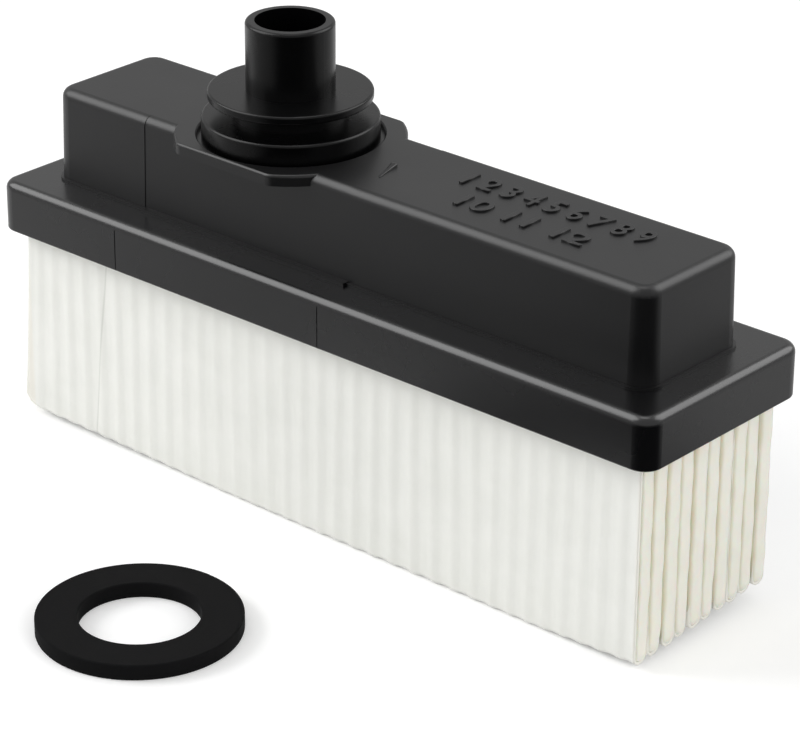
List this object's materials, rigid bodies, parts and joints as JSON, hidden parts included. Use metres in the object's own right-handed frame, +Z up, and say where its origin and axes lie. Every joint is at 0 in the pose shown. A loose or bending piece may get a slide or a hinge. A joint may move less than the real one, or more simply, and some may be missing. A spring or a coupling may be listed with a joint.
{
  "type": "air filter housing",
  "caption": "Pleated air filter cartridge: hollow black housing with a flanged outlet neck, a white folded medium and a loose sealing ring.",
  "frame": {"origin": "on the neck's axis, at the upper face of its flange", "axes": "+Z up out of the spigot, +X along the housing away from the neck's end"},
  "size_m": [0.1816, 0.1204, 0.1038],
  "materials": {
    "housing_plastic": "fine moulded texture, satin",
    "adhesive": "cured adhesive",
    "filter_media": "matte non-woven",
    "potting_resin": "cured resin",
    "hot_melt": "waxy",
    "washer_rubber": "matte"
  },
  "bodies": {
    "filter": {"outlet_neck": "housing_plastic", "plenum_cover": "housing_plastic", "neck_bond_ring": "adhesive", "rim_frame": "housing_plastic", "cover_bond_bead": "adhesive", "pleated_media": "filter_media", "potting_ring": "potting_resin", "end_glue_left": "hot_melt", "end_glue_right": "hot_melt", "separator_beads": "hot_melt"},
    "washer": {"sealing_washer": "washer_rubber"}
  },
  "joints": [
    {"name": "washer_lift", "type": "slide", "parent": "filter", "child": "washer", "axis": [0, 0, 1], "range_m": [0, 0.12]}
  ]
}
